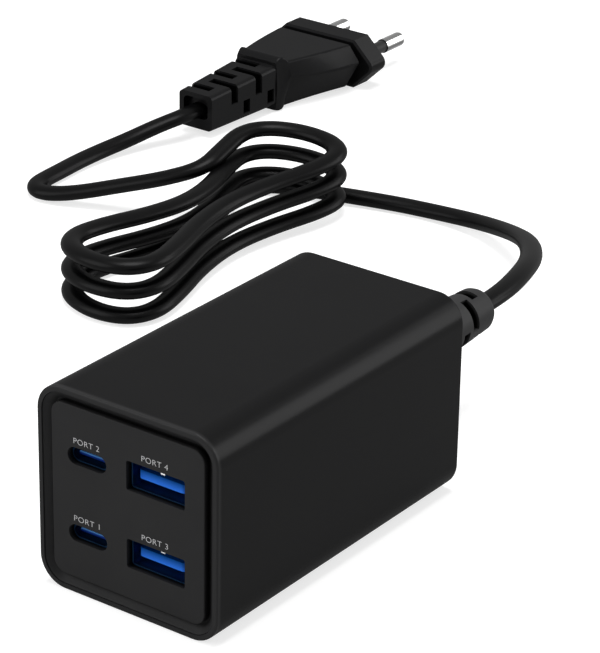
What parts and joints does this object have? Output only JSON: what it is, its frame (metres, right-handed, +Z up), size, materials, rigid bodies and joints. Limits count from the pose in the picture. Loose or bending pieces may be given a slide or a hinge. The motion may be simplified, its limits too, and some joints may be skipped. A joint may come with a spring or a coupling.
{
  "type": "multi-port usb charger",
  "caption": "Box-shaped desktop charger with a recessed panel of USB-A and USB-C sockets, a rear strain relief and a bundled flat mains lead that ends in a flat plug.",
  "frame": {"origin": "middle of the housing's underside", "axes": "+Z up, -Y out of the socket panel, +X to the right when facing the panel"},
  "size_m": [0.1831, 0.286, 0.043],
  "materials": {
    "case_plastic": "fine satin texture",
    "panel_plastic": "satin",
    "socket_metal": "bright plated",
    "blue_insulator": "satin",
    "dark_insulator": "satin",
    "contact_metal": "gold plated",
    "board": "lacquered",
    "black_component": "moulded",
    "ferrite": "matt",
    "bobbin_plastic": "moulded",
    "winding": "enamelled copper",
    "can_sleeve": "shrunk sleeve",
    "film_capacitor": "resin",
    "disc_capacitor": "dipped resin",
    "fuse_case": "moulded",
    "spreader_sheet": "mill finish",
    "insulating_film": "film",
    "live_insulation": "flexible",
    "neutral_insulation": "flexible",
    "flex": "satin, flexible",
    "plug_moulding": "satin, flexible",
    "pin_metal": "nickel plated",
    "pin_sleeve": "satin"
  },
  "bodies": {
    "root": {"housing": "case_plastic", "front_panel": "panel_plastic", "port_board": "board", "main_board": "board", "insulating_sheet": "insulating_film", "board_header": "black_component", "heat_spreader": "spreader_sheet", "transformer_core": "ferrite", "transformer_bobbin": "bobbin_plastic", "transformer_winding": "winding", "choke_core": "ferrite", "choke_winding": "winding", "fuse": "fuse_case", "y_capacitor": "disc_capacitor", "x_capacitor": "film_capacitor", "bulk_capacitors": "can_sleeve", "output_capacitors": "can_sleeve", "output_inductors": "ferrite", "port_chips": "black_component", "optocoupler": "black_component", "bridge_rectifier": "black_component", "switch_transistor": "black_component", "control_chip": "black_component", "live_wire": "live_insulation", "neutral_wire": "neutral_insulation", "strain_relief": "flex", "cord_lead": "flex", "cord_coil": "flex", "cord_tail": "flex", "plug_body": "plug_moulding", "plug_pins": "pin_metal", "plug_pin_sleeves": "pin_sleeve", "usb_a_shell_upper": "socket_metal", "usb_a_tongue_upper": "blue_insulator", "usb_a_contacts_upper": "contact_metal", "usb_c_shell_upper": "socket_metal", "usb_c_tongue_upper": "dark_insulator", "usb_c_contacts_upper": "contact_metal", "usb_a_shell_lower": "socket_metal", "usb_a_tongue_lower": "blue_insulator", "usb_a_contacts_lower": "contact_metal", "usb_c_shell_lower": "socket_metal", "usb_c_tongue_lower": "dark_insulator", "usb_c_contacts_lower": "contact_metal"}
  },
  "joints": []
}
